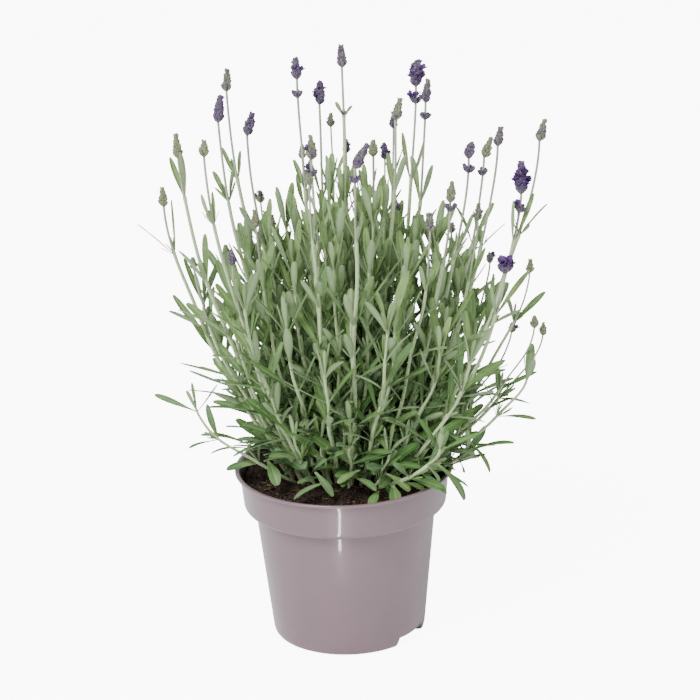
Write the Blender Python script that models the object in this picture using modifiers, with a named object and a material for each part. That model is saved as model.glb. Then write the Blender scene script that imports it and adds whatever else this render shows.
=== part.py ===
"""Potted lavender: a moulded nursery pot, its compost, flowering stems with their spikes, and leafy shoots.

Metres, +Z up. The origin is the middle of the pot's base, on the surface that the pot stands on, and the
camera side of the plant is towards -Y. Lengths are written in millimetres as NUMBER * MM.
"""

import math
import random

import bmesh
import bpy
from mathutils import Matrix, Vector
from mathutils.bvhtree import BVHTree

MM = 0.001
GAP = 0.3 * MM  # between pieces that touch

# Pot: a 15 cm nursery pot, moulded in one piece with a wide stepped rim band.
RIM_RADIUS = 75 * MM
POT_HEIGHT = 121 * MM
LIP_WIDTH = 2.2 * MM
LIP_THICKNESS = 2 * MM
BAND_TOP_RADIUS = 71.8 * MM
BAND_FOOT_RADIUS = 69.4 * MM
BAND_FOOT_HEIGHT = 94.4 * MM
SHOULDER = 3 * MM  # the band's lower edge is rounded by this much
BODY_TOP_RADIUS = 62.1 * MM
BASE_RADIUS = 52 * MM
BASE_ROUNDING = 3 * MM
FALL = 0.8 * MM  # the shelf under the band slopes down to the body by this much
WALL = 1.3 * MM
POT_SEGMENTS = 48

# Two channels are pressed up into the pot's floor. Each ends in a notch in the foot of the wall.
CHANNEL_ANGLES = (math.radians(-33), math.radians(147))
CHANNEL_WIDTH = 30 * MM
CHANNEL_HEIGHT = 5 * MM
CHANNEL_INNER_RADIUS = 22 * MM
DRAIN_HOLE_RADIUS = 4 * MM
DRAIN_HOLE_DISTANCE = 36 * MM

# Compost fills the pot to a little under the rim and stands highest at the back left.
COMPOST_LEVEL = 109 * MM  # at the pot's wall
COMPOST_DOME = 5 * MM
HEAP = 7 * MM
HEAP_PLACE = (-54 * MM, 30 * MM)
HEAP_SPREAD = 13 * MM
LUMP = 0.9 * MM
COMPOST_SEGMENTS = 30
COMPOST_RINGS = 5

# Stems are rooted this deep and stand in sockets in the compost.
ROOTED_DEPTH = 12 * MM
STEM_FOOT_RADIUS = 1.5 * MM
STEM_TIP_RADIUS = 0.75 * MM
STEM_SPANS = 6
FAN = 0.34  # a stem's foot is at this share of its head's distance from the pot's axis
UPTURN = 1.5  # stems lean out at the foot and turn up towards the tip

SPIKE_RADIUS = 4.0 * MM
SPIKE_WAIST = 0.8  # the radius between two whorls, as a share of the radius at a whorl
WHORL_SPACING = 4.5 * MM
SPIKE_SEGMENTS = 7

# Leaves grow in opposite pairs. Each range is (at the foot, at the head) of a stem: the low leaves spread,
# droop and are broad, and the high ones stand up and are narrow. Those halfway up are the longest.
LEAF_ANGLE = (math.radians(58), math.radians(24))  # from the stem
LEAF_CURL = (math.radians(26), math.radians(-18))  # over the leaf's length, away from the stem
LEAF_WIDTH = (6.8 * MM, 4.2 * MM)
LEAF_LENGTH = 30 * MM
HALFWAY_LEAF_LENGTH = 44 * MM
LEAF_VIGOUR = (0.85, 1.1)  # the range of the random factor on a pair's length
LEAF_THICKNESS = 0.9 * MM
LEAF_CLEARANCE = 0.8 * MM
LEAF_ROOT_SHARE = 0.16  # this share of a leaf, at its stem, is left out of the clearance test
TURN_STEP = math.radians(23)  # a leaf with no room is turned about its stem, up to TURNS_TRIED times
TURNS_TRIED = 6

# Spacings are shares of the stem's height. A flowering stem's top pair is below its bare stalk.
FLOWER_PAIRS = 3
FLOWER_PAIR_SPACING = 0.17
SHOOT_PAIRS = 4
SHOOT_PAIR_SPACING = 0.19
SHOOT_TOP_PAIR = 0.97

# Flowering stems, left to right: the head's x, y and z, the spike's length and the bare stalk below it, in mm.
FLOWER_STEMS = (
    (-115, 20, 304, 14, 34),
    (-102, -10, 347, 17, 28),
    (-84, -36, 355, 12, 48),
    (-75, 2, 367, 19, 56),
    (-70, 48, 375, 16, 62),
    (-57, 26, 350, 17, 76),
    (-22, 15, 391, 15, 78),
    (-14, -24, 347, 17, 60),
    (-8, 50, 363, 17, 66),
    (8, 8, 400, 16, 34),
    (14, -60, 351, 19, 52),
    (27, 30, 331, 12, 40),
    (42, -4, 366, 16, 52),
    (57, 34, 378, 19, 66),
    (64, 70, 356, 17, 70),
    (76, -30, 316, 15, 46),
    (90, 2, 336, 12, 66),
    (102, 46, 323, 15, 60),
    (110, 18, 339, 14, 70),
    (110, -52, 273, 8, 30),
    (123, -26, 319, 23, 34),
    (139, 40, 335, 16, 66),
)

# Leafy shoots without flowers: the tip's x, y and z in mm. The last ones reach low over the rim.
LEAFY_SHOOTS = (
    (-92, 24, 236),
    (-62, -40, 252),
    (-34, 62, 276),
    (-2, -36, 276),
    (32, -60, 240),
    (66, 16, 270),
    (86, -56, 214),
    (30, 92, 250),
    (84, 78, 228),
    (-76, 76, 226),
    (-10, 102, 210),
    (-98, -28, 176),
    (64, -76, 160),
    (126, -10, 184),
)


def between(pair, share):
    """The value at this share of the way from the first of a pair to the second."""
    return pair[0] + (pair[1] - pair[0]) * share


def new_collection(name):
    """A collection in the scene."""
    collection = bpy.data.collections.new(name)
    bpy.context.scene.collection.children.link(collection)
    return collection


def add_object(name, data, collection):
    """An object with this data, at the origin."""
    obj = bpy.data.objects.new(name, data)
    collection.objects.link(obj)
    return obj


def material(name, colour, roughness):
    """A Principled material with one colour."""
    made = bpy.data.materials.new(name)
    made.use_nodes = True
    shader = made.node_tree.nodes["Principled BSDF"]
    shader.inputs["Base Color"].default_value = (*colour, 1)
    shader.inputs["Roughness"].default_value = roughness
    shader.inputs["Metallic"].default_value = 0.0
    made.diffuse_color = (*colour, 1)
    return made


def bmesh_object(name, shape, collection):
    """An object from a bmesh, which is freed."""
    mesh = bpy.data.meshes.new(name)
    shape.to_mesh(mesh)
    shape.free()
    return add_object(name, mesh, collection)


def turned(name, profile, segments, collection):
    """A solid of revolution about Z from (radius, height) points that run down its outer side, top to bottom."""
    shape = bmesh.new()
    points = [shape.verts.new((radius, 0, height)) for radius, height in profile]
    for upper, lower in zip(points, points[1:]):
        shape.edges.new((upper, lower))
    obj = bmesh_object(name, shape, collection)
    screw = obj.modifiers.new("turn", "SCREW")
    screw.steps = segments
    screw.render_steps = segments
    screw.use_merge_vertices = True
    screw.merge_threshold = 0.00005
    return obj


def boolean(obj, operation, other):
    """Adds a Boolean modifier with another mesh object."""
    modifier = obj.modifiers.new(other.name, "BOOLEAN")
    modifier.operation = operation
    modifier.object = other


def as_helper(obj):
    """Marks a cutter, which is no piece of the object."""
    obj.hide_render = True
    obj.display_type = "WIRE"
    return obj


def evaluated_mesh(obj):
    """A new mesh with the object's modifiers applied, in world space."""
    bpy.context.view_layer.update()
    graph = bpy.context.evaluated_depsgraph_get()
    mesh = bpy.data.meshes.new_from_object(obj.evaluated_get(graph))
    mesh.transform(obj.matrix_world)
    return mesh


def tree_of(mesh):
    """(search tree, lowest corner, highest corner) of a mesh in world space."""
    points = [v.co.copy() for v in mesh.vertices]
    faces = [tuple(p.vertices) for p in mesh.polygons]
    low = Vector(min(p[k] for p in points) for k in range(3))
    high = Vector(max(p[k] for p in points) for k in range(3))
    return BVHTree.FromPolygons(points, faces), low, high


def touches(candidate, others):
    """Whether a tree meets any of the others."""
    tree, low, high = candidate
    for other, other_low, other_high in others:
        apart = any(low[k] > other_high[k] or other_low[k] > high[k] for k in range(3))
        if not apart and tree.overlap(other):
            return True
    return False


# ---------------------------------------------------------------------------------------------- pot and compost


def body_radius(height):
    """The pot's outer radius below the band."""
    return BASE_RADIUS + (BODY_TOP_RADIUS - BASE_RADIUS) * height / BAND_FOOT_HEIGHT


def channel_block(name, grow, collection):
    """A block that fills both channels, larger by grow on every side but its outer ends."""
    shape = bmesh.new()
    length = BASE_RADIUS + 8 * MM - CHANNEL_INNER_RADIUS + grow
    for angle in CHANNEL_ANGLES:
        middle = CHANNEL_INNER_RADIUS - grow + length / 2
        size = Matrix.Diagonal((length, CHANNEL_WIDTH + 2 * grow, 2 * (CHANNEL_HEIGHT + grow), 1))
        place = Matrix.Rotation(angle, 4, "Z") @ Matrix.Translation((middle, 0, 0)) @ size
        bmesh.ops.create_cube(shape, size=1, matrix=place)
    return as_helper(bmesh_object(name, shape, collection))


def drain_holes(collection):
    """Cutters for the two holes in the channels' roofs."""
    shape = bmesh.new()
    for angle in CHANNEL_ANGLES:
        place = Matrix.Rotation(angle, 4, "Z") @ Matrix.Translation((DRAIN_HOLE_DISTANCE, 0, CHANNEL_HEIGHT))
        bmesh.ops.create_cone(
            shape, cap_ends=True, segments=16, radius1=DRAIN_HOLE_RADIUS, radius2=DRAIN_HOLE_RADIUS,
            depth=8 * MM, matrix=place,
        )
    return as_helper(bmesh_object("drain_hole_cutter", shape, collection))


def build_pot(parts, helpers):
    """The pot: its turned outside, less the inside, the channels and their drain holes."""
    edge = 0.25 * LIP_THICKNESS  # the lip's edges are broken by this much
    under_lip = POT_HEIGHT - LIP_THICKNESS
    outside = (
        (0, POT_HEIGHT),
        (RIM_RADIUS - edge, POT_HEIGHT),
        (RIM_RADIUS, POT_HEIGHT - edge),
        (RIM_RADIUS, under_lip + edge),
        (RIM_RADIUS - edge, under_lip),
        (BAND_TOP_RADIUS, under_lip - edge),
        (BAND_FOOT_RADIUS, BAND_FOOT_HEIGHT + SHOULDER),
        (BAND_FOOT_RADIUS - 0.3 * SHOULDER, BAND_FOOT_HEIGHT + 0.3 * SHOULDER),
        (BAND_FOOT_RADIUS - SHOULDER, BAND_FOOT_HEIGHT),
        (BODY_TOP_RADIUS, BAND_FOOT_HEIGHT - FALL),
        (body_radius(BASE_ROUNDING), BASE_ROUNDING),
        (BASE_RADIUS - 0.3 * BASE_ROUNDING, 0.3 * BASE_ROUNDING),
        (BASE_RADIUS - BASE_ROUNDING, 0),
        (0, 0),
    )
    inside = (
        (0, POT_HEIGHT + 1 * MM),
        (RIM_RADIUS - LIP_WIDTH, POT_HEIGHT + 1 * MM),
        (RIM_RADIUS - LIP_WIDTH, POT_HEIGHT - edge),
        (BAND_TOP_RADIUS - WALL, under_lip),
        (BAND_FOOT_RADIUS - WALL, BAND_FOOT_HEIGHT + SHOULDER),
        (BAND_FOOT_RADIUS - SHOULDER, BAND_FOOT_HEIGHT + WALL),
        (BODY_TOP_RADIUS - WALL, BAND_FOOT_HEIGHT + WALL - FALL),
        (BASE_RADIUS - WALL, BASE_ROUNDING),
        (BASE_RADIUS - BASE_ROUNDING, WALL),
        (0, WALL),
    )
    pot = turned("pot", outside, POT_SEGMENTS, parts)
    hollow = as_helper(turned("pot_inside_cutter", inside, POT_SEGMENTS, helpers))
    boolean(hollow, "DIFFERENCE", channel_block("channel_roof_block", WALL, helpers))
    boolean(pot, "DIFFERENCE", hollow)
    boolean(pot, "DIFFERENCE", channel_block("channel_cutter", 0, helpers))
    boolean(pot, "DIFFERENCE", drain_holes(helpers))
    return pot


def compost_height(x, y):
    """The compost's surface: a low dome with lumps, heaped at the back left."""
    share = min(1.0, math.hypot(x, y) / BAND_TOP_RADIUS)
    lumps = LUMP * math.sin(x / (9 * MM) + 1) * math.cos(y / (11 * MM))
    from_heap = math.hypot(x - HEAP_PLACE[0], y - HEAP_PLACE[1])
    heap = HEAP * math.exp(-0.5 * (from_heap / HEAP_SPREAD) ** 2)
    return COMPOST_LEVEL + COMPOST_DOME * (1 - share**2) + lumps * (1 - share**4) + heap


def build_compost(parts, helpers):
    """The compost: a turned plug a gap inside the pot, with its top moved to the uneven surface."""
    inset = WALL + 2 * GAP
    rings = [BAND_TOP_RADIUS - inset - 1 * MM]
    rings += [rings[0] * (1 - (n + 1) / COMPOST_RINGS) for n in range(COMPOST_RINGS - 1)]
    top = [(0, COMPOST_LEVEL)] + [(radius, COMPOST_LEVEL) for radius in reversed(rings)]
    side = [
        (BAND_FOOT_RADIUS - inset, BAND_FOOT_HEIGHT + SHOULDER),
        (BAND_FOOT_RADIUS - SHOULDER - GAP, BAND_FOOT_HEIGHT + inset),
        (BODY_TOP_RADIUS - inset, BAND_FOOT_HEIGHT + inset - FALL),
        (BASE_RADIUS - inset, BASE_ROUNDING + GAP),
        (BASE_RADIUS - BASE_ROUNDING - GAP, inset),
        (0, inset),
    ]
    blank = turned("compost_blank", top + side, COMPOST_SEGMENTS, helpers)
    mesh = evaluated_mesh(blank)
    bpy.data.objects.remove(blank)
    for vertex in mesh.vertices:
        if vertex.co.z > COMPOST_LEVEL - 0.1 * MM:
            vertex.co.z = compost_height(vertex.co.x, vertex.co.y)
    compost = add_object("compost", mesh, parts)
    boolean(compost, "DIFFERENCE", channel_block("compost_channel_cutter", WALL + GAP, helpers))
    return compost


# ------------------------------------------------------------------------------------------------- plant pieces


class Stem:
    """The middle line of one stem, from its rooted foot to its head."""

    def __init__(self, head):
        self.head = Vector(head) * MM
        self.foot = Vector((self.head.x * FAN, self.head.y * FAN, 0))
        self.ground = compost_height(self.foot.x, self.foot.y)
        self.height = self.head.z - self.ground

    def point(self, share):
        """The point at this share of the height above the compost. Below 0 the stem goes straight down."""
        out = 1 - (1 - max(0.0, share)) ** UPTURN
        flat = self.foot.lerp(Vector((self.head.x, self.head.y, 0)), out)
        return Vector((flat.x, flat.y, self.ground + self.height * share))

    def direction(self, share):
        """The direction of growth there."""
        return (self.point(min(1.0, share + 0.01)) - self.point(share - 0.01)).normalized()

    def radius(self, share):
        """The stem thins towards its tip."""
        return between((STEM_FOOT_RADIUS, STEM_TIP_RADIUS), max(0.0, share))


def tube(name, points, radii, collection):
    """A round tube through the points, as a mesh object whose end caps are welded."""
    data = bpy.data.curves.new(name, "CURVE")
    data.dimensions = "3D"
    data.bevel_depth = 1.0
    data.bevel_resolution = 1
    data.use_fill_caps = True
    spline = data.splines.new("POLY")
    spline.points.add(len(points) - 1)
    for place, point, radius in zip(spline.points, points, radii):
        place.co = (*point, 1)
        place.radius = radius
    curve = add_object(name + "_curve", data, collection)
    mesh = evaluated_mesh(curve)
    bpy.data.objects.remove(curve)
    shape = bmesh.new()
    shape.from_mesh(mesh)
    bmesh.ops.remove_doubles(shape, verts=shape.verts, dist=0.01 * MM)
    shape.to_mesh(mesh)
    shape.free()
    return add_object(name, mesh, collection)


def stem_tube(name, stem, collection):
    """A stem from its rooted end to its head."""
    rooted = -ROOTED_DEPTH / stem.height
    shares = [rooted] + [n / STEM_SPANS for n in range(STEM_SPANS + 1)]
    return tube(name, [stem.point(s) for s in shares], [stem.radius(s) for s in shares], collection)


def socket_cutter(name, stem, collection):
    """The hole that a stem's rooted end stands in, a gap wider than the stem."""
    shares = [(-ROOTED_DEPTH - GAP) / stem.height, 0, 1 / STEM_SPANS]
    radii = [stem.radius(s) + 1.5 * GAP for s in shares]
    return as_helper(tube(name, [stem.point(s) for s in shares], radii, collection))


def build_spike(name, stem, length, parts):
    """A flower spike: a turned body with one swelling for each whorl of buds, set on its stem's tip."""
    whorls = max(2, round(length / WHORL_SPACING))
    profile = [(0, length)]
    for n in range(2 * whorls):
        share = (n + 0.5) / (2 * whorls)
        swelling = 1.0 if n % 2 else SPIKE_WAIST
        taper = math.sin(math.pi * (0.16 + 0.66 * share)) ** 0.8  # fullest a little below the middle
        profile.append((SPIKE_RADIUS * taper * swelling, length * (1 - share)))
    profile.append((0, 0))
    spike = turned(name, profile, SPIKE_SEGMENTS, parts)
    along = stem.direction(1.0)
    spike.location = stem.point(1.0) + along * GAP * 1.5
    spike.rotation_euler = along.to_track_quat("Z", "Y").to_euler()
    return spike


def leaf_mesh(stem, height_share, turn, angle, curl, length, width, grow=0.0, start=0.0):
    """One leaf: a sphere drawn out flat along an arc that leaves its stem at this angle and bends by curl."""
    along = stem.direction(height_share)
    side = along.cross(Vector((math.cos(turn), math.sin(turn), 0))).normalized()
    out = side.cross(along)
    base = stem.point(height_share)
    shape = bmesh.new()
    bmesh.ops.create_uvsphere(shape, u_segments=4, v_segments=3, radius=0.5)
    for vertex in shape.verts:
        share = start + (1 - start) * (vertex.co.z + 0.5)
        chord = angle + 0.5 * curl * share
        bend = angle + curl * share
        line = length * share * (math.cos(chord) * along + math.sin(chord) * out)
        face = math.sin(bend) * along - math.cos(bend) * out
        across = vertex.co.x * (width + 2 * grow) * side
        through = vertex.co.y * (LEAF_THICKNESS + 2 * grow) * face
        vertex.co = base + line + across + through
    bmesh.ops.recalc_face_normals(shape, faces=shape.faces)
    mesh = bpy.data.meshes.new("leaf")
    shape.to_mesh(mesh)
    shape.free()
    return mesh


def leaf_sizes(height_share, vigour):
    """(angle, curl, length, width) of a leaf at this share of its stem's height."""
    halfway = math.sin(math.pi * height_share)
    return (
        between(LEAF_ANGLE, height_share),
        between(LEAF_CURL, height_share),
        between((LEAF_LENGTH, HALFWAY_LEAF_LENGTH), halfway) * vigour,
        between(LEAF_WIDTH, height_share),
    )


def add_leaves(obj, stem, shares, first_turn, chance, obstacles, helpers):
    """Joins opposite leaf pairs to a stem, each pair square to the last, where they clear everything else."""
    grown = []
    for n, share in enumerate(shares):
        angle, curl, length, width = leaf_sizes(share, chance.uniform(*LEAF_VIGOUR))
        for half in (0, math.pi):
            for attempt in range(TURNS_TRIED):
                turn = first_turn + half + n * math.pi / 2 + attempt * TURN_STEP
                sizes = (stem, share, turn, angle, curl, length, width)
                room = leaf_mesh(*sizes, grow=LEAF_CLEARANCE, start=LEAF_ROOT_SHARE)
                tree = tree_of(room)
                bpy.data.meshes.remove(room)
                if not touches(tree, obstacles + grown):
                    leaf = leaf_mesh(*sizes)
                    grown.append(tree_of(leaf))
                    piece = as_helper(add_object(f"{obj.name}_leaf_{len(grown)}", leaf, helpers))
                    boolean(obj, "UNION", piece)
                    break
    return grown


def build_plant(parts, helpers, obstacles):
    """All stems first, then the spikes, then the leaves, which grow only into free space."""
    chance = random.Random(15)
    flowering = [Stem(row[:3]) for row in FLOWER_STEMS]
    shoots = [Stem(row) for row in LEAFY_SHOOTS]
    pieces = []
    for n, (stem, row) in enumerate(zip(flowering, FLOWER_STEMS), 1):
        bare_share = 1 - row[4] * MM / stem.height
        shares = [bare_share - FLOWER_PAIR_SPACING * k for k in range(FLOWER_PAIRS)]
        pieces.append((stem_tube(f"flower_stem_{n:02d}", stem, parts), stem, shares))
    for n, stem in enumerate(shoots, 1):
        shares = [SHOOT_TOP_PAIR - SHOOT_PAIR_SPACING * k for k in range(SHOOT_PAIRS)]
        pieces.append((stem_tube(f"leafy_shoot_{n:02d}", stem, parts), stem, shares))
    spikes = []
    for n, (stem, row) in enumerate(zip(flowering, FLOWER_STEMS), 1):
        spikes.append(build_spike(f"flower_spike_{n:02d}", stem, row[3] * MM, parts))
    sockets = [socket_cutter(f"socket_{n:02d}", stem, helpers) for n, stem in enumerate(flowering + shoots, 1)]
    taken = obstacles + [tree_of(evaluated_mesh(spike)) for spike in spikes]
    stems = [tree_of(obj.data) for obj, _, _ in pieces]
    for n, (obj, stem, shares) in enumerate(pieces):
        others = taken + stems[:n] + stems[n + 1 :]
        first_turn = chance.uniform(0, math.pi)
        taken += add_leaves(obj, stem, shares, first_turn, chance, others, helpers)
    return [obj for obj, _, _ in pieces], spikes, sockets


def main():
    for obj in list(bpy.data.objects):
        bpy.data.objects.remove(obj)
    parts = new_collection("potted_lavender")
    helpers = new_collection("cutters")

    pot = build_pot(parts, helpers)
    compost = build_compost(parts, helpers)
    obstacles = [tree_of(evaluated_mesh(pot)), tree_of(evaluated_mesh(compost))]
    stems, spikes, sockets = build_plant(parts, helpers, obstacles)
    for socket in sockets:
        boolean(compost, "DIFFERENCE", socket)

    finishes = (
        (material("pot_plastic", (0.36, 0.30, 0.31), 0.25), [pot]),
        (material("compost", (0.035, 0.022, 0.016), 0.95), [compost]),
        (material("leaf_green", (0.16, 0.27, 0.10), 0.6), stems),
        (material("flower_violet", (0.12, 0.07, 0.28), 0.7), spikes),
    )
    for finish, objects in finishes:
        for obj in objects:
            obj.data.materials.clear()
            obj.data.materials.append(finish)
            obj.data.shade_smooth()
            obj.data.set_sharp_from_angle(angle=math.radians(40))


main()
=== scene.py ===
"""Potted lavender: the finished look of every piece, laid out as a Blender add-on and run as a script.

Each stem, spike and leafy shoot of the construction model is stood for by a detailed one on the same line.
Metres, +Z up, the origin in the middle of the pot's base, and the camera on the -Y side.
"""

import functools
import math
import random

import bmesh
import bpy
import numpy as np
from bpy.props import FloatProperty, FloatVectorProperty, IntProperty, PointerProperty
from mathutils import Matrix, Vector, noise


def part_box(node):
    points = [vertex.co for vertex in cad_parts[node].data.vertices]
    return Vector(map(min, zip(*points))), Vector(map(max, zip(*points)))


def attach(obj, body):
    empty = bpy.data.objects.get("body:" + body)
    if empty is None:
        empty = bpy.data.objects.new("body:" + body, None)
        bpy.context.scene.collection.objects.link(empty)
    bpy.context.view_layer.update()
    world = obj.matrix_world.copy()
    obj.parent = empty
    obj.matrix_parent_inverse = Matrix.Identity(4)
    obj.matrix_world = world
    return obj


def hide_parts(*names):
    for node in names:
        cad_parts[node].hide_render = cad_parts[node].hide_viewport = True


bl_info = {
    "name": "Potted lavender",
    "version": (1, 0, 0),
    "blender": (4, 5, 0),
    "location": "View3D > Sidebar > Lavender",
    "description": "Builds a flowering lavender in its moulded nursery pot",
    "category": "Add Mesh",
}

MM = 0.001

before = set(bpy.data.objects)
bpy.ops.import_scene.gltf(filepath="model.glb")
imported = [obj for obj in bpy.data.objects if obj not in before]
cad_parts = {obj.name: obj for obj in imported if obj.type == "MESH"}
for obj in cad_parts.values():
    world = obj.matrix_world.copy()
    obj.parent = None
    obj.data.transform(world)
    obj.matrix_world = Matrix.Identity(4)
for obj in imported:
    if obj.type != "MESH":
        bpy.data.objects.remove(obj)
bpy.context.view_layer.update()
_, POT_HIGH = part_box("pot")

# The pot's section, as in the construction model.
LIP_WIDTH = 2.2 * MM
LIP_THICKNESS = 2.0 * MM
BAND_TOP_RADIUS = 71.8 * MM
BAND_FOOT_RADIUS = 69.4 * MM
BAND_FOOT_HEIGHT = 94.4 * MM
SHOULDER = 3.0 * MM
BODY_TOP_RADIUS = 62.1 * MM
BASE_RADIUS = 52.0 * MM
BASE_ROUNDING = 5.0 * MM
WALL = 1.3 * MM
CHANNEL_ANGLES = (math.radians(-33), math.radians(147))
CHANNEL_WIDTH = 30 * MM
CHANNEL_HEIGHT = 5 * MM
CHANNEL_INNER_RADIUS = 22 * MM
DRAIN_HOLE_RADIUS = 4 * MM
DRAIN_HOLE_DISTANCE = 36 * MM

# The compost's surface and the lines of the stems, as in the construction model.
COMPOST_LEVEL = 109 * MM
COMPOST_DOME = 5 * MM
HEAP = 7 * MM
HEAP_PLACE = (-54 * MM, 30 * MM)
HEAP_SPREAD = 13 * MM
LUMP = 0.9 * MM
ROOTED_DEPTH = 10 * MM
FAN = 0.34
UPTURN = 1.5

# Flowering stems, in the order of their nodes: the bare stalk and the distance down to a separate whorl in mm
# (0 for none), how open the flowers are and how violet the spike is, both from 0 to 1, the size of the leaf
# pair under the bare stalk as a share of the usual, and the spike's lean to the right of its stalk in degrees.
FLOWER_STEMS = (
    (34, 0, 0.0, 0.1, 1.0, 0),
    (28, 0, 0.0, 0.15, 1.05, 0),
    (48, 0, 0.0, 0.1, 0.8, 4),
    (56, 0, 0.05, 0.7, 0.8, 8),
    (62, 0, 0.0, 0.35, 0.8, 6),
    (76, 0, 0.05, 0.8, 1.0, 16),
    (78, 13, 0.05, 0.65, 0.8, -2),
    (60, 12, 0.05, 0.3, 0.9, 0),
    (66, 0, 0.1, 0.85, 0.8, 4),
    (33, 33, 0.0, 0.55, 0.38, 0),
    (52, 10, 0.0, 0.55, 0.9, 28),
    (40, 0, 0.0, 0.0, 0.9, 0),
    (52, 0, 0.0, 0.3, 1.0, 14),
    (66, 12, 0.3, 1.0, 1.0, 3),
    (70, 12, 0.0, 0.45, 1.0, 6),
    (46, 6, 0.0, 0.15, 0.9, 6),
    (66, 10, 0.1, 0.6, 0.9, 10),
    (60, 13, 0.0, 0.15, 0.9, 18),
    (70, 0, 0.0, 0.45, 0.8, 8),
    (30, 0, 0.5, 1.0, 0.9, 0),
    (34, 13, 0.3, 1.0, 1.0, -2),
    (66, 0, 0.0, 0.3, 0.9, 14),
)

# The tips of the leafy shoots, in the order of their nodes, in mm.
LEAFY_SHOOTS = (
    (-92, 24, 236),
    (-62, -40, 252),
    (-34, 62, 276),
    (-2, -36, 276),
    (32, -60, 240),
    (66, 16, 270),
    (86, -56, 214),
    (30, 92, 250),
    (84, 78, 228),
    (-76, 76, 226),
    (-10, 102, 210),
    (-98, -28, 176),
    (64, -76, 160),
    (126, -10, 184),
)

# Lesser flowering stems: the spike's foot x, y and z and its length in mm, and how violet it is.
SMALL_FLOWERS = (
    (-1, 75, 340, 10, 0.3),
    (9, 95, 315, 10, 0.7),
    (-21, 45, 327, 10, 0.1),
    (-16, -50, 338, 8, 0.2),
    (-51, 70, 289, 9, 0.1),
    (-53, -10, 297, 13, 0.15),
    (-44, 90, 264, 10, 0.1),
    (42, 90, 333, 12, 0.9),
    (35, 60, 320, 12, 0.8),
    (104, 30, 253, 8, 0.3),
    (131, 30, 245, 10, 0.1),
    (62, -45, 302, 13, 0.4),
    (95, -10, 297, 12, 0.3),
    (41, 40, 287, 11, 0.3),
    (80, 80, 259, 8, 0.4),
    (132, 2, 215, 9, 0.05),
    (139, 25, 201, 10, 0.05),
    (119, 50, 195, 8, 0.1),
    (-96, 0, 266, 9, 0.2),
    (-69, -36, 280, 11, 0.6),
)


# ---- small tools ----


def linear(hex_colour):
    """A colour from an sRGB hex value to the linear values that Blender's sockets take."""
    parts = [int(hex_colour[n : n + 2], 16) / 255 for n in (1, 3, 5)]
    return tuple(c / 12.92 if c <= 0.04045 else ((c + 0.055) / 1.055) ** 2.4 for c in parts)


def smoothstep(low, high, value):
    """0 below low, 1 above high, and smooth between them."""
    share = np.clip((value - low) / (high - low), 0, 1)
    return share * share * (3 - 2 * share)


def unit(vectors):
    """Vectors of length 1 along the last axis."""
    return vectors / np.linalg.norm(vectors, axis=-1, keepdims=True)


def circle(count):
    """Points evenly spaced round a circle of radius 1, anticlockwise."""
    angle = np.arange(count) * 2 * math.pi / count
    return np.stack([np.cos(angle), np.sin(angle)], -1)


def linked(name, data):
    """An object of this data, in the scene."""
    made = bpy.data.objects.new(name, data)
    bpy.context.scene.collection.objects.link(made)
    return made


def compost_height(x, y):
    """The compost's surface: a low dome with lumps, heaped at the back left."""
    share = np.minimum(1.0, np.hypot(x, y) / BAND_TOP_RADIUS)
    lumps = LUMP * np.sin(x / (9 * MM) + 1) * np.cos(y / (11 * MM))
    from_heap = np.hypot(x - HEAP_PLACE[0], y - HEAP_PLACE[1])
    heap = HEAP * np.exp(-0.5 * (from_heap / HEAP_SPREAD) ** 2)
    return COMPOST_LEVEL + COMPOST_DOME * (1 - share**2) + lumps * (1 - share**4) + heap


class Shell:
    """Closed swept bodies gathered into one mesh, with numbers kept at each point for the materials to read."""

    NOTES = ("run", "across", "under", "tint", "age")

    def __init__(self):
        self.points, self.corners, self.sizes, self.slots, self.count = [], [], [], [], 0
        self.notes = {name: [] for name in self.NOTES}

    def sweep(self, centre, side, face, ring, slot=0, **notes):
        """Adds a body for each centre line.

        centre is (bodies, stations, 3), side and face are the section's two axes there, with side x face along
        the line, and ring is (bodies, stations, around, 2): the section's points, anticlockwise.
        """
        bodies, stations, around = ring.shape[:3]
        points = centre[:, :, None] + ring[..., :1] * side[:, :, None] + ring[..., 1:] * face[:, :, None]
        first, step = np.meshgrid(np.arange(stations - 1), np.arange(around), indexing="ij")
        low = first * around + step
        high = first * around + (step + 1) % around
        quads = np.stack([low, high, high + around, low + around], -1).reshape(-1)
        caps = np.concatenate([np.arange(around)[::-1], (stations - 1) * around + np.arange(around)])
        shift = self.count + np.arange(bodies)[:, None] * stations * around
        self.corners.append((np.concatenate([quads, caps])[None] + shift).reshape(-1))
        sizes = np.concatenate([np.full(len(quads) // 4, 4), [around, around]])
        self.sizes.append(np.tile(sizes, bodies))
        self.slots.append(np.full(len(sizes) * bodies, slot))
        self.points.append(points.reshape(-1, 3))
        for name in self.NOTES:
            values = np.broadcast_to(np.asarray(notes.get(name, 0.0), float), (bodies, stations, around))
            self.notes[name].append(values.reshape(-1))
        self.count += bodies * stations * around

    def finish(self, name, materials, sharp=math.radians(55)):
        """The mesh object, smooth but for edges sharper than this angle."""
        mesh = bpy.data.meshes.new(name)
        points, corners, sizes = (np.concatenate(part) for part in (self.points, self.corners, self.sizes))
        mesh.vertices.add(len(points))
        mesh.vertices.foreach_set("co", points.astype(np.float32).reshape(-1))
        mesh.loops.add(len(corners))
        mesh.loops.foreach_set("vertex_index", corners.astype(np.int32))
        mesh.polygons.add(len(sizes))
        starts = np.concatenate([[0], np.cumsum(sizes)[:-1]])
        mesh.polygons.foreach_set("loop_start", starts.astype(np.int32))
        mesh.polygons.foreach_set("material_index", np.concatenate(self.slots).astype(np.int32))
        mesh.update(calc_edges=True)
        for note, values in self.notes.items():
            layer = mesh.attributes.new(note, "FLOAT", "POINT")
            layer.data.foreach_set("value", np.concatenate(values).astype(np.float32))
        for material in materials:
            mesh.materials.append(material)
        mesh.shade_smooth()
        mesh.set_sharp_from_angle(angle=sharp)
        return linked(name, mesh)


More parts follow.
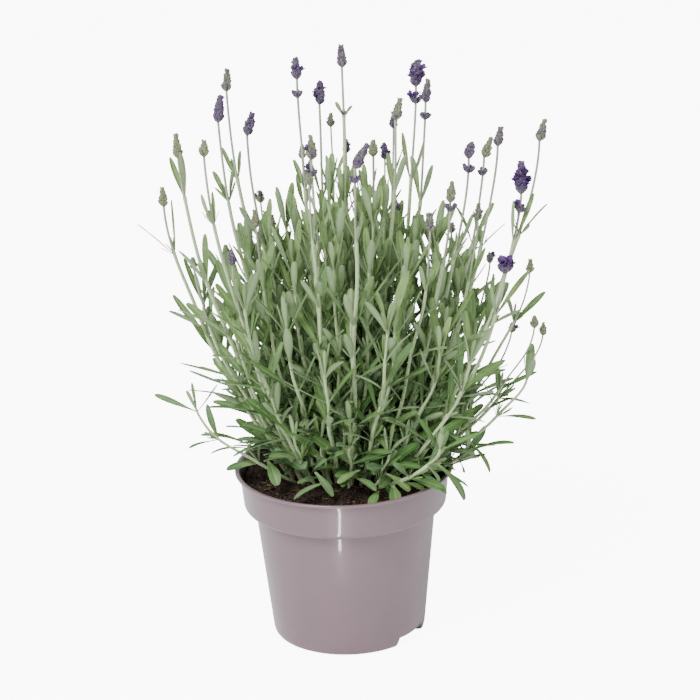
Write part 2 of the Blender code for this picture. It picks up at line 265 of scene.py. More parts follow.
def across_axes(axis):
    """Two directions square to each axis, with first x second along it."""
    first = unit(np.array([1.0, 0, 0]) - axis * axis[..., :1])
    return first, np.cross(axis, first)


def turned_out(axis, turn):
    """The direction square to each axis at this turn about it."""
    first, second = across_axes(axis)
    turn = np.asarray(turn)[..., None]
    return first * np.cos(turn) + second * np.sin(turn)


def seeded(*key):
    """A random source of its own for one piece."""
    return random.Random("-".join(str(part) for part in key))


# ---- materials ----


# What the materials here always set on a kind of node, and the output they read where it isn't the first.
USUAL = {"Mix": {"data_type": "RGBA"}, "MapRange": {"interpolation_type": "SMOOTHSTEP"}}
OUTPUT = {"Attribute": "Fac", "TexCoord": "Object", "SeparateXYZ": "Z"}


def add(tree, kind, *inputs, **settings):
    """Adds a node and gives its output. An input is a value, an output that feeds it, or None to leave it."""
    made = tree.nodes.new("ShaderNode" + kind)
    for name, value in {**USUAL.get(kind, {}), **settings}.items():
        setattr(made, name, value)
    for socket, value in zip([socket for socket in made.inputs if socket.enabled], inputs):
        if isinstance(value, bpy.types.NodeSocket):
            tree.links.new(value, socket)
        elif value is not None:
            socket.default_value = (*value, 1.0) if socket.type == "RGBA" else value
    return made.outputs[OUTPUT[kind]] if kind in OUTPUT else next(s for s in made.outputs if s.enabled)


def per(width):
    """The noise scale that gives features about this many metres wide."""
    return 0.5 / width


def new_material(name, **fixed):
    """(material, the add function for its nodes, its Principled node with these values set on it)."""
    made = bpy.data.materials.new(name)
    made.use_nodes = True
    shader = made.node_tree.nodes["Principled BSDF"]
    for socket, value in fixed.items():
        shader.inputs[socket.replace("_", " ")].default_value = value
    return made, functools.partial(add, made.node_tree), shader


def feed(node, **sources):
    """Links these outputs to the node's inputs of the same names."""
    for name, source in sources.items():
        node.id_data.links.new(source, node.inputs[name.replace("_", " ")])


def polypropylene(settings):
    """Injection-moulded polypropylene: an even gloss, broken only by faint flow waves and a little dust."""
    made, new, shader = new_material(
        "injection_moulded_polypropylene", IOR=1.49, Coat_Weight=0.7, Coat_Roughness=0.06, Coat_IOR=1.49
    )
    place = new("TexCoord")
    flow = new("TexNoise", place, per(14 * MM))
    # Specks of compost dust up to 0.6 mm wide cling below the rim.
    specks = new("MapRange", new("TexNoise", place, per(0.5 * MM), 0.0), 0.74, 0.78)
    near_rim = new("MapRange", new("SeparateXYZ", place), 100 * MM, POT_HIGH.z)
    base = new("Mix", new("MapRange", flow, 0.35, 0.65, 0.0, 0.35), settings.colour, settings.shade)
    dusty = new("Mix", new("Math", specks, near_rim, operation="MULTIPLY"), base, linear("#6b5347"))
    feed(
        shader,
        Base_Color=dusty,
        Roughness=new("MapRange", flow, 0.3, 0.7, 0.3, 0.38),
        Normal=new("Bump", 0.35, 0.02 * MM, None, new("TexNoise", place, per(2.2 * MM), 1.0)),
    )
    return made


def peat(settings):
    """Milled peat compost: near-black damp crumbs with rust-brown and straw-coloured fibres."""
    made, new, shader = new_material("milled_peat_compost", Specular_IOR_Level=0.3)
    place, tint = new("TexCoord"), new("Attribute", attribute_name="tint")
    fine = new("TexNoise", place, per(0.35 * MM), 3.0)
    base = settings.dark
    for share, over in (
        (new("MapRange", new("TexNoise", place, per(3 * MM)), 0.35, 0.65), settings.brown),
        (new("MapRange", tint, 0.45, 0.75), settings.rust),
        (new("MapRange", tint, 0.85, 0.97), settings.straw),
        (new("MapRange", fine, 0.4, 0.6, 0.0, 0.45), linear("#120c0a")),
    ):
        base = new("Mix", share, base, over)
    feed(
        shader,
        Base_Color=base,
        Roughness=new("MapRange", fine, 0.3, 0.7, 0.75, 0.98),
        Normal=new("Bump", 0.8, 0.4 * MM, None, new("TexNoise", place, per(0.6 * MM), 4.0)),
    )
    return made


def leaf_surface(settings):
    """Living lavender leaf: a soft grey bloom of fine hairs, a pale midrib, and a paler felted underside."""
    made, new, shader = new_material(
        "grown_lavender_leaf", Sheen_Weight=0.12, Sheen_Roughness=0.5, Specular_IOR_Level=0.4
    )
    place = new("TexCoord")
    run, across, under, tint, age = (new("Attribute", attribute_name=name) for name in Shell.NOTES)
    base = settings.young
    for share, over in (
        (age, settings.old),
        (new("MapRange", tint, 0.5, 1.0, 0.0, 0.32), settings.bluish),
        (new("MapRange", new("TexNoise", place, per(2.5 * MM)), 0.35, 0.65, 0.0, 0.28), linear("#3f5f34")),
        (new("MapRange", new("Math", across, operation="ABSOLUTE"), 0.2, 0.03, 0.0, 0.32), settings.rib),
        (new("MapRange", run, 0.22, 0.0, 0.0, 0.6), settings.rib),
        (new("Math", under, 0.75, operation="MULTIPLY"), settings.underside),
    ):
        base = new("Mix", share, base, over)
    feed(
        shader,
        Base_Color=base,
        Roughness=new("MapRange", new("TexNoise", place, per(0.3 * MM)), 0.3, 0.7, 0.46, 0.66),
        Normal=new("Bump", 0.6, 0.12 * MM, None, new("TexNoise", place, per(0.9 * MM), 3.0)),
    )
    through = new("BsdfTranslucent", new("Mix", 0.5, base, settings.rib))
    feed(made.node_tree.nodes["Material Output"], Surface=new("MixShader", 0.28, shader.outputs[0], through))
    return made


def stem_surface(settings):
    """Living lavender stem: pale green, downy, browner where it comes out of the compost."""
    made, new, shader = new_material("grown_lavender_stem", Sheen_Weight=0.15, Sheen_Roughness=0.5)
    place = new("TexCoord")
    run, tint = (new("Attribute", attribute_name=name) for name in ("run", "tint"))
    down = new("TexNoise", place, per(0.3 * MM))
    streak = new("TexNoise", place, per(0.8 * MM), 3.0)
    base = settings.stem
    for share, over in (
        (new("MapRange", tint, 0.2, 1.0, 0.0, 0.6), settings.stalk),
        (new("MapRange", run, 0.12, 0.0, 0.0, 0.7), settings.wood),
        (new("MapRange", streak, 0.4, 0.62, 0.0, 0.35), linear("#7f9a63")),
    ):
        base = new("Mix", share, base, over)
    feed(
        shader,
        Base_Color=base,
        Roughness=new("MapRange", down, 0.3, 0.7, 0.5, 0.7),
        Normal=new("Bump", 0.5, 0.06 * MM, None, down),
    )
    return made


def calyx_surface(settings):
    """Woolly lavender calyx: grey-green at its foot, dusky violet towards its mouth, dulled by short hairs."""
    made, new, shader = new_material("grown_lavender_calyx", Sheen_Weight=0.35, Sheen_Roughness=0.4)
    run, tint = (new("Attribute", attribute_name=name) for name in ("run", "tint"))
    rise = new("Math", run, tint, tint, operation="MULTIPLY_ADD")
    wool = new("TexNoise", new("TexCoord"), per(0.45 * MM), 3.0)
    base = new("Mix", new("MapRange", rise, 0.25, 1.25), settings.bud, settings.calyx)
    woolly = new("Mix", new("MapRange", wool, 0.5, 0.68, 0.0, 0.5), base, settings.wool)
    feed(
        shader,
        Base_Color=woolly,
        Roughness=new("MapRange", wool, 0.3, 0.7, 0.6, 0.85),
        Normal=new("Bump", 0.8, 0.15 * MM, None, wool),
    )
    return made


def corolla_surface(settings):
    """Lavender corolla: thin, silky violet petals, deeper in the throat."""
    made, new, shader = new_material("grown_lavender_corolla", Sheen_Weight=0.25, Sheen_Roughness=0.3)
    place, run = new("TexCoord"), new("Attribute", attribute_name="run")
    veins = new("MapRange", new("TexNoise", place, per(0.5 * MM)), 0.4, 0.6, 0.0, 0.3)
    base = new("Mix", new("MapRange", run, 0.1, 0.8), settings.throat, settings.petal)
    base = new("Mix", veins, base, settings.throat)
    silk = new("TexNoise", place, per(0.3 * MM))
    feed(shader, Base_Color=base, Roughness=new("MapRange", silk, 0.3, 0.7, 0.45, 0.6))
    through = new("BsdfTranslucent", base)
    feed(made.node_tree.nodes["Material Output"], Surface=new("MixShader", 0.2, shader.outputs[0], through))
    return made


def board(settings):
    """Matt white board that the pot stands on."""
    made, new, shader = new_material(
        "matt_white_board", Roughness=0.85, Specular_IOR_Level=0.2, Emission_Color=(1.0, 1.0, 1.0, 1.0)
    )
    shade = new("MapRange", new("TexNoise", new("TexCoord"), per(60 * MM)), 0.3, 0.7, 0.0, 0.06)
    # The glow is only there for the camera, so that it whitens the board without lighting the plant from below.
    glow = new("Math", new("LightPath"), settings.floor_glow, operation="MULTIPLY")
    feed(shader, Base_Color=new("Mix", shade, settings.floor_colour, (0.7, 0.7, 0.7)), Emission_Strength=glow)
    return made


MAKERS = {
    "pot": polypropylene,
    "compost": peat,
    "leaf": leaf_surface,
    "stem": stem_surface,
    "calyx": calyx_surface,
    "corolla": corolla_surface,
}


def finish_of(name):
    """The material of this kind, made the first time it is asked for."""
    key = "lavender_" + name
    found = [m for m in bpy.data.materials if m.get("made_as") == key]
    if found:
        return found[0]
    settings = bpy.context.scene.lavender
    group = {"pot": settings.pot, "compost": settings.compost, "calyx": settings.flowers, "corolla": settings.flowers}
    made = MAKERS[name](group.get(name, settings.foliage))
    made["made_as"] = key
    return made


# ---- plant shapes ----


class Line:
    """The middle line of a stem. It leans out from its foot, turns up towards its head and sways a little."""

    def __init__(self, head, chance, sway=1.1 * MM, fan=FAN):
        self.head = np.array(head, float)
        self.foot = self.head[:2] * fan
        self.ground = float(compost_height(*self.foot))
        self.height = self.head[2] - self.ground
        self.sway = sway
        self.phase = [chance.uniform(0, 2 * math.pi) for _ in range(2)]
        self.waves = chance.uniform(1.2, 2.2)

    def point(self, share):
        """Points at these shares of the height above the compost."""
        share = np.asarray(share, float)
        inside = np.clip(share, 0, 1)
        out = (1 - (1 - inside) ** UPTURN)[..., None]
        flat = self.foot + (self.head[:2] - self.foot) * out
        swing = self.sway * np.sin(math.pi * inside)
        sways = [swing * np.sin(self.waves * math.pi * 2 * share + phase) for phase in self.phase]
        return np.concatenate(
            [flat + np.stack(sways, -1), (self.ground + self.height * share)[..., None]], -1
        )

    def direction(self, share):
        """The direction of growth there."""
        share = np.asarray(share, float)
        return unit(self.point(np.minimum(share + 0.01, 1.0)) - self.point(share - 0.01))


def grow_stem(shell, line, nodes, foot_radius, tip_radius, tint, stalk=0.0):
    """A stem with four blunt corners that swells at its leaf nodes. stalk is its radius above the last one."""
    stations = max(16, int(line.height / (4 * MM)))
    share = np.concatenate([[-ROOTED_DEPTH / line.height], np.linspace(0, 1, stations)])
    centre = line.point(share)[None]
    axis = unit(np.gradient(centre, axis=1))
    side, face = across_axes(axis)
    radius = foot_radius + (tip_radius - foot_radius) * np.clip(share, 0, 1) ** 0.8
    above = smoothstep(nodes[-1], nodes[-1] + 3 * MM / line.height, share) if stalk else 0 * share
    radius = radius + (stalk - radius) * above
    for node in nodes:
        radius = radius + 0.3 * MM * np.exp(-(((share - node) * line.height / (1.4 * MM)) ** 2))
    corner = 1 + 0.08 * np.cos(np.arange(8) * math.pi)
    ring = radius[None, :, None, None] * (circle(8) * corner[:, None])
    run = np.clip(share, 0, 1)[None, :, None]
    shell.sweep(centre, side, face, ring, 1, run=run, tint=np.maximum(tint * run, above[None, :, None]))


# A leaf's section from its right edge over the top to its left edge and back underneath: (across, height).
# The heights are in mm: the top is grooved along the midrib, and the rib stands out below.
LEAF_SECTION = (
    (1.0, 0.0),
    (0.6, 0.14),
    (0.14, 0.16),
    (0.0, -0.06),
    (-0.14, 0.16),
    (-0.6, 0.14),
    (-1.0, 0.0),
    (-0.5, -0.14),
    (0.0, -0.34),
    (0.5, -0.14),
)
LEAF_STATIONS = (0, 0.07, 0.17, 0.3, 0.44, 0.57, 0.69, 0.8, 0.89, 0.96, 1.0)
PETAL_SECTION = ((1.0, 0.0), (0.0, 0.12), (-1.0, 0.0), (0.0, -0.12))
PETAL_STATIONS = (0, 0.25, 0.5, 0.75, 0.93, 1.0)


def leaf_outline(run, widest, foot):
    """The half width along a leaf, as a share of the widest: a narrow foot, widest past the middle, a blunt tip."""
    rising = foot + (1 - foot) * smoothstep(0, widest, run)
    falling = np.sqrt(np.clip(1 - np.clip((run - widest) / (1.02 - widest), 0, 1) ** 2.2, 0, 1))
    return rising * falling


def arcs(base, axis, out, length, bend, run):
    """(points, directions) of lines that leave their base bent this far from axis towards out, at each run."""
    along = np.cos(bend)[..., None] * axis[:, None] + np.sin(bend)[..., None] * out[:, None]
    steps = np.diff(run, axis=1)[..., None] * 0.5 * (along[:, 1:] + along[:, :-1])
    line = np.concatenate([np.zeros_like(along[:, :1]), np.cumsum(steps, axis=1)], axis=1)
    return base[:, None] + line * length[:, None, None], along


def rest_height(points):
    """The least height of a leaf's middle line: over the compost, the lip, and outside them the floor."""
    reach = np.hypot(points[..., 0], points[..., 1])
    inside = compost_height(points[..., 0], points[..., 1]) + 2.2 * MM
    over_lip = POT_HIGH.z + 2 * MM
    return np.where(reach < POT_HIGH.x - 7 * MM, inside, np.where(reach < POT_HIGH.x + 3 * MM, over_lip, 0))


def grow_leaves(shell, rows, slot=0, section=LEAF_SECTION, stations=LEAF_STATIONS):
    """Leaves or petals. Each row is a dict with base, axis, out, length, width, angle, curl and more, below."""
    if not rows:
        return
    get = {key: np.array([row[key] for row in rows], float) for key in rows[0]}
    run = np.array(stations)[None]
    bend = get["angle"][:, None] + get["curl"][:, None] * run**1.3
    centre, along = arcs(get["base"], get["axis"], get["out"], get["length"], bend, run)
    # A leaf that would pass through the pot or the compost is lifted by its far end until it rests on them.
    resting = rest_height(centre) - centre[..., 2]
    lift = np.max(np.where(resting > 0, resting / np.maximum(run, 0.25), 0), axis=1)
    centre[..., 2] += lift[:, None] * run
    side = np.cross(get["axis"], get["out"])[:, None] + np.zeros_like(along)
    centre = centre + side * (get["drift"][:, None, None] * get["length"][:, None, None] * (run**2)[..., None])
    face = np.cross(along, side)
    twist = (get["twist"][:, None] * run)[..., None]
    side, face = side * np.cos(twist) + face * np.sin(twist), face * np.cos(twist) - side * np.sin(twist)
    across = np.array([point[0] for point in section])
    lift = np.array([point[1] for point in section]) * MM
    half = 0.5 * get["width"][:, None] * leaf_outline(run, get["widest"][:, None], get["foot"][:, None])
    fold = get["fold"][:, None, None]
    flat = half[..., None] * across
    thick = np.clip(half / (1.2 * MM), 0.35, 1.0)[..., None]
    height = np.abs(flat) * np.sin(fold) + lift * thick
    ring = np.stack([flat * np.cos(fold), height], -1)
    under = (lift < 0) & (np.abs(across) > 0) | (lift < -0.2 * MM)
    shell.sweep(
        centre, side, face, ring, slot,
        run=run[..., None], across=across, under=under.astype(float),
        tint=get["tint"][:, None, None], age=get["age"][:, None, None],
    )


def leaf_row(base, axis, turn, length, width, angle, curl, age, chance, **more):
    """One row for grow_leaves, with small chance differences."""
    axis = np.asarray(axis, float)
    out = turned_out(axis, turn)
    row = {
        "base": base + out * 0.5 * MM,
        "axis": axis,
        "out": out,
        "length": length,
        "width": width,
        "angle": angle,
        "curl": curl,
        "drift": chance.uniform(-0.05, 0.05),
        "twist": chance.uniform(-0.35, 0.35),
        "widest": chance.uniform(0.55, 0.68),
        "foot": 0.28,
        "fold": chance.uniform(0.08, 0.35),
        "tint": chance.random(),
        "age": min(1.0, max(0.0, age + chance.uniform(-0.15, 0.15))),
    }
    row.update(more)
    return row


def pair_rows(line, share, turn, chance, vigour, spread=0.0):
    """An opposite pair of leaves at this share of the stem: low ones spread and droop, high ones stand up."""
    rows = []
    base, axis = line.point(share), line.direction(share)
    level = min(1.0, max(0.0, (base[2] - COMPOST_LEVEL) / (230 * MM)))
    for half in (0, math.pi):
        length = (31 + 10 * math.sin(math.pi * min(1.0, level + 0.15))) * MM * vigour * chance.uniform(0.85, 1.12)
        width = (7.4 - 2.2 * level) * MM * chance.uniform(0.85, 1.12) * (0.6 + 0.4 * vigour)
        angle = math.radians(14 + 46 * (1 - level) ** 1.4 + spread) * chance.uniform(0.7, 1.3)
        curl = math.radians(14 - 26 * level + chance.uniform(-14, 14))
        turned = turn + half + chance.uniform(-0.2, 0.2)
        rows.append(leaf_row(base, axis, turned, length, width, angle, curl, 1 - level, chance))
    return rows


def tuft_rows(line, share, turn, chance, size):
    """Small young leaves in the two axils of a leaf pair."""
    rows = []
    base, axis = line.point(share), line.direction(share)
    for half in (0, math.pi):
        for _ in range(chance.choice((2, 3, 4))):
            length = chance.uniform(9, 20) * MM * size
            width = length * chance.uniform(0.13, 0.19)
            angle = math.radians(chance.uniform(14, 42))
            turned = turn + half + chance.uniform(-0.9, 0.9)
            curl = math.radians(chance.uniform(-22, 12))
            rows.append(leaf_row(base, axis, turned, length, width, angle, curl, 0.35, chance))
    return rows


def leafy_stem(
    line, shares, chance, vigour=1.0, tuft=1.0, top_tuft=False, stem=(1.35, 0.8), tint=0.2, stalk=0.0, top_size=1.0
):
    """A shell with a stem and its leaf pairs, each pair square to the one below.

    stem is the radius at the foot and the top in mm, and stalk is the thinner radius above the last pair.
    """
    shell = Shell()
    grow_stem(shell, line, shares, stem[0] * MM, stem[1] * MM, tint, stalk=stalk * MM)
    turn = chance.uniform(0, math.pi)
    if stalk:
        # The pair under a bare stalk opens sideways, and the others follow from it.
        turn = chance.choice((-1, 1)) * chance.uniform(0.45, 0.85) - (len(shares) - 1) * math.pi / 2
    rows = []
    for n, share in enumerate(shares):
        square = turn + n * math.pi / 2
        last = n == len(shares) - 1
        spread = (45 if top_size < 0.5 else 3) if last and stalk else 0
        rows += pair_rows(line, share, square, chance, vigour * (top_size if last else 1.0), spread)
        if tuft and share < 0.86 and chance.random() < 0.75:
            rows += tuft_rows(line, share, square, chance, tuft)
    if top_tuft:
        for n in range(3):
            size = vigour * (1 - 0.22 * n)
            base, axis = line.point(1.0 - 0.012 * n), line.direction(0.99)
            for half in (0, math.pi):
                length = chance.uniform(20, 27) * MM * size
                angle = math.radians(chance.uniform(7, 20))
                turned = turn + (len(shares) + n) * math.pi / 2 + half
                width = chance.uniform(3.6, 5.2) * MM * size
                curl = math.radians(chance.uniform(-12, 8))
                rows.append(leaf_row(base, axis, turned, length, width, angle, curl, 0.1, chance))
    grow_leaves(shell, rows)
    return shell


# ---- flowers ----


def grow_calyces(shell, base, axis, out, length, radius, angle, tint, slot):
    """Ribbed tubes, narrow at the foot and drawn in at the mouth, that curve up along the spike."""
    run = np.array([0, 0.12, 0.35, 0.62, 0.85, 0.96, 1.0])[None]
    bend = angle[:, None] * (1 - 0.45 * run)
    centre, along = arcs(base, axis, out, length, bend, run)
    side = np.cross(axis, out)[:, None] + np.zeros_like(along)
    face = np.cross(along, side)
    swell = np.array([0.42, 0.6, 0.88, 1.0, 0.92, 0.7, 0.3])
    rib = 1 + 0.13 * np.cos(np.arange(10) * math.pi)
    ring = circle(10) * rib[:, None]
    ring = radius[:, None, None, None] * swell[None, :, None, None] * ring[None, None]
    shell.sweep(centre, side, face, ring, slot, run=run[..., None], tint=tint[:, None, None])


def whorl_turns(count, first, chance):
    """Turns of the buds of one whorl: two opposite groups."""
    half = count // 2
    turns = []
    for side in (0, math.pi):
        for n in range(half):
            turns.append(first + side + (n - (half - 1) / 2) * (2.5 / half) + chance.uniform(-0.12, 0.12))
    return turns


def grow_whorl(shell, base, axis, first, count, size, angle, violet, openness, chance, slots):
    """One whorl: bracts, ribbed calyces, and petals out of those that are open."""
    calyx_slot, petal_slot, bract_slot = slots
    turns = np.array(whorl_turns(count, first, chance))
    axes = np.repeat(axis[None], len(turns), 0)
    outs = turned_out(axes, turns)
    lengths = np.array([size * chance.uniform(0.85, 1.12) for _ in turns])
    radii = lengths * 0.21
    angles = np.array([angle * chance.uniform(0.8, 1.2) for _ in turns])
    tints = np.array([min(1.0, max(0.0, violet + chance.uniform(-0.18, 0.18))) for _ in turns])
    bases = base + outs * 0.45 * MM
    grow_calyces(shell, bases, axes, outs, lengths, radii, angles, tints, calyx_slot)
    bracts = []
    for side in (0, math.pi):
        turn = first + side
        bracts.append(
            leaf_row(base - axis * 0.4 * MM, axis, turn, size * 0.7, size * 0.5, angle * 1.25, -0.3, 0.2, chance,
                     widest=0.45, foot=0.6, fold=0.3)
        )
    grow_leaves(shell, bracts, bract_slot, PETAL_SECTION, PETAL_STATIONS)
    petals = []
    for n in range(len(turns)):
        if chance.random() > openness:
            continue
        lean = angles[n] * 0.7
        mouth_axis = math.cos(lean) * axis + math.sin(lean) * outs[n]
        mouth = bases[n] + mouth_axis * lengths[n] * 0.9
        for k in range(5):
            wide = 1.25 if k in (0, 1) else 1.0
            petals.append(
                leaf_row(mouth, mouth_axis, k * 1.2566 + chance.uniform(-0.15, 0.15), size * 0.62 * wide,
                         size * 0.4 * wide, chance.uniform(0.15, 0.4), chance.uniform(0.2, 0.7), 0.2, chance,
                         widest=0.6, foot=0.4, fold=0.2)
            )
    grow_leaves(shell, petals, petal_slot, PETAL_SECTION, PETAL_STATIONS)


def grow_spike(shell, base, axis, length, openness, violet, chance, slots, fullness=1.0):
    """A spike of whorls from its foot up, tighter and smaller towards the tip."""
    size = 5.4 * MM * fullness
    count = max(3, round(length / (2.9 * MM)))
    turn = chance.uniform(0, math.pi)
    for n in range(count):
        share = n / count
        place = base + axis * (length - size * 0.85) * share
        shrink = 1.0 - (0.3 if violet > 0.5 else 0.5) * share**2
        buds = 8 if share < 0.8 else 6
        angle = math.radians(44 - 26 * share) * (0.85 + 0.3 * openness)
        open_here = openness * (1.3 - share)
        rise = min(1.0, violet + 0.12 * (1 - share))
        grow_whorl(shell, place, axis, turn + n * 0.85, buds, size * shrink, angle, rise, open_here, chance, slots)
    # The tip: a few upright buds close together.
    place = base + axis * (length - size * 0.9)
    grow_whorl(shell, place, axis, turn, 4, size * 0.8, math.radians(13), violet, 0.0, chance, slots)


def grow_side_whorl(shell, line, drop, size, openness, chance, slots):
    """The separate whorl that sits on the stalk below a spike."""
    share = 1 - drop / line.height
    base, axis = line.point(share), line.direction(share)
    turn = chance.uniform(0, math.pi)
    grow_whorl(shell, base, axis, turn, 6, size, math.radians(46), 1.0, openness, chance, slots)


# ---- pot and compost ----


def lathe(profile, segments):
    """A closed turned mesh from a closed (radius, height) outline, anticlockwise, that doesn't touch the axis."""
    outline = np.array(profile)
    flat = outline[None, :, :1] * circle(segments)[:, None]
    points = np.concatenate([flat, np.repeat(outline[None, :, 1:], segments, 0)], -1)
    count = len(outline)
    first, step = np.meshgrid(np.arange(segments), np.arange(count), indexing="ij")
    a = first * count + step
    b = (first + 1) % segments * count + step
    c = (first + 1) % segments * count + (step + 1) % count
    d = first * count + (step + 1) % count
    return points.reshape(-1, 3), np.stack([a, b, c, d], -1).reshape(-1, 4)


def rounded(outline, segments=4):
    """An outline with its marked corners rounded. Each point is (radius, height, rounding)."""
    made = []
    count = len(outline)
    for n, (x, z, rounding) in enumerate(outline):
        here = Vector((x, z))
        if not rounding:
            made.append(tuple(here))
            continue
        before = Vector(outline[n - 1][:2]) - here
        after = Vector(outline[(n + 1) % count][:2]) - here
        start, end = here + before.normalized() * rounding, here + after.normalized() * rounding
        for k in range(segments + 1):
            t = k / segments
            made.append(tuple(start * (1 - t) ** 2 + here * 2 * t * (1 - t) + end * t * t))
    return made


def subdivided(outline, longest):
    """The same outline with no span longer than this."""
    made = []
    for n, point in enumerate(outline):
        here, after = Vector(point), Vector(outline[(n + 1) % len(outline)])
        pieces = max(1, math.ceil((after - here).length / longest))
        made += [tuple(here.lerp(after, k / pieces)) for k in range(pieces)]
    return made


def channel_lift(points):
    """How far the pot's floor is pressed up at these points: two channels that run out through its edge."""
    lift = np.zeros(len(points))
    for angle in CHANNEL_ANGLES:
        along = points[:, 0] * math.cos(angle) + points[:, 1] * math.sin(angle)
        across = -points[:, 0] * math.sin(angle) + points[:, 1] * math.cos(angle)
        half = 0.5 * CHANNEL_WIDTH
        wide = 1 - smoothstep(half - 1.6 * MM, half + 1.6 * MM, np.abs(across))
        long = smoothstep(CHANNEL_INNER_RADIUS - 2 * MM, CHANNEL_INNER_RADIUS + 2 * MM, along)
        lift = np.maximum(lift, wide * long)
    fade = 1 - smoothstep(CHANNEL_HEIGHT + 3 * MM, CHANNEL_HEIGHT + 14 * MM, points[:, 2])
    return CHANNEL_HEIGHT * lift * fade * (1 - smoothstep(0, CHANNEL_HEIGHT + 14 * MM, points[:, 2]))


def mesh_object(name, points, faces, material):
    """A smooth mesh object from points and quads."""
    mesh = bpy.data.meshes.new(name)
    mesh.from_pydata(points, [], faces)
    mesh.materials.append(material)
    mesh.shade_smooth()
    return linked(name, mesh)


def from_bmesh(name, shape):
    """An object from a bmesh, which is freed."""
    mesh = bpy.data.meshes.new(name)
    shape.to_mesh(mesh)
    shape.free()
    return linked(name, mesh)


def applied(obj):
    """Applies the object's modifiers to its mesh."""
    bpy.context.view_layer.update()
    graph = bpy.context.evaluated_depsgraph_get()
    mesh = bpy.data.meshes.new_from_object(obj.evaluated_get(graph))
    obj.modifiers.clear()
    obj.data = mesh
    return obj


def pot_outline():
    """The pot's section: up the outside, over the lip, down the inside and across the floor."""
    rim, height = POT_HIGH.x, POT_HIGH.z
    under_lip = height - LIP_THICKNESS
    centre = 0.2 * MM
    return rounded(
        (
            (centre, 0, 0),
            (BASE_RADIUS, 0, BASE_ROUNDING),
            (BODY_TOP_RADIUS, BAND_FOOT_HEIGHT - 0.8 * MM, 0.5 * MM),
            (BAND_FOOT_RADIUS, BAND_FOOT_HEIGHT, 0.8 * SHOULDER),
            (BAND_TOP_RADIUS, under_lip, 0.8 * MM),
            (rim, under_lip, 0.7 * MM),
            (rim, height, 0.8 * MM),
            (rim - LIP_WIDTH, height, 0.7 * MM),
            (BAND_TOP_RADIUS - WALL, under_lip - 0.6 * MM, 1.5 * MM),
            (BAND_FOOT_RADIUS - WALL, BAND_FOOT_HEIGHT + WALL, SHOULDER),
            (BODY_TOP_RADIUS - WALL, BAND_FOOT_HEIGHT + WALL - 0.8 * MM, 1.2 * MM),
            (BASE_RADIUS - WALL, WALL, BASE_ROUNDING),
            (centre, WALL, 0),
        )
    )


def drain_hole_cutter():
    """Two short cylinders through the channels' roofs."""
    shape = bmesh.new()
    for angle in CHANNEL_ANGLES:
        place = Matrix.Rotation(angle, 4, "Z") @ Matrix.Translation((DRAIN_HOLE_DISTANCE, 0, CHANNEL_HEIGHT))
        bmesh.ops.create_cone(
            shape, cap_ends=True, segments=32, radius1=DRAIN_HOLE_RADIUS, radius2=DRAIN_HOLE_RADIUS,
            depth=8 * MM, matrix=place,
        )
    return from_bmesh("drain_hole_cutter", shape)


def fractal(points, size, seed):
    """Fractal noise at these points, about -1 to 1, with features this many metres wide."""
    shift = Vector((seed * 7.3, seed * 3.1, seed * 5.7))
    return np.array([noise.fractal(Vector(p) / size + shift, 1.0, 2.0, 4) for p in points])


def compost_surface(shell, radius, depth):
    """The compost's rough top and its smooth plug, swept out from the middle and down the pot's wall."""
    rings = np.linspace(0.4 * MM, radius, int(radius / (0.75 * MM)))
    around = 240
    flat = rings[:, None, None] * circle(around)
    points = np.concatenate([flat, np.zeros((*flat.shape[:2], 1))], -1).reshape(-1, 3)
    rough = 1.5 * MM * fractal(points, 7 * MM, 1) + 0.8 * MM * fractal(points, 2.2 * MM, 2)
    edge = 1 - smoothstep(radius - 3 * MM, radius, np.hypot(points[:, 0], points[:, 1]))
    height = compost_height(points[:, 0], points[:, 1]) + rough * (0.3 + 0.7 * edge)
    height = height.reshape(len(rings), around)
    tint = 0.5 + 0.5 * fractal(points, 4 * MM, 3).reshape(len(rings), around)
    # Sections from below up to the rim of the plug, then in to the middle, so that the faces look outwards.
    low = np.array([[BASE_RADIUS - 4 * MM, depth], [BODY_TOP_RADIUS - 4 * MM, BAND_FOOT_HEIGHT + 3 * MM]])
    level = np.concatenate([np.repeat(low[:, 1:], around, 1), height[::-1]])
    out = np.concatenate([low[:, 0], rings[::-1]])
    ring = out[:, None, None] * circle(around)
    # The section's height differs round the ring, so the sweep is laid out flat and lifted afterwards.
    stations = len(out)
    centre = np.zeros((1, stations, 3))
    side = np.zeros((1, stations, 3)) + [1.0, 0, 0]
    face = np.zeros((1, stations, 3)) + [0, 1.0, 0]
    tints = np.concatenate([np.zeros((2, around)), tint[::-1]])
    shell.sweep(centre, side, face, ring[None], 0, tint=0.62 * tints[None])
    shell.points[-1][:, 2] = level.reshape(-1)


def scatter_place(chance, radius):
    """A point on the compost and the slope's up direction there."""
    reach, turn = radius * math.sqrt(chance.random()), chance.uniform(0, 2 * math.pi)
    x, y = reach * math.cos(turn), reach * math.sin(turn)
    return np.array([x, y, float(compost_height(x, y)) + chance.uniform(0.0, 1.4) * MM])


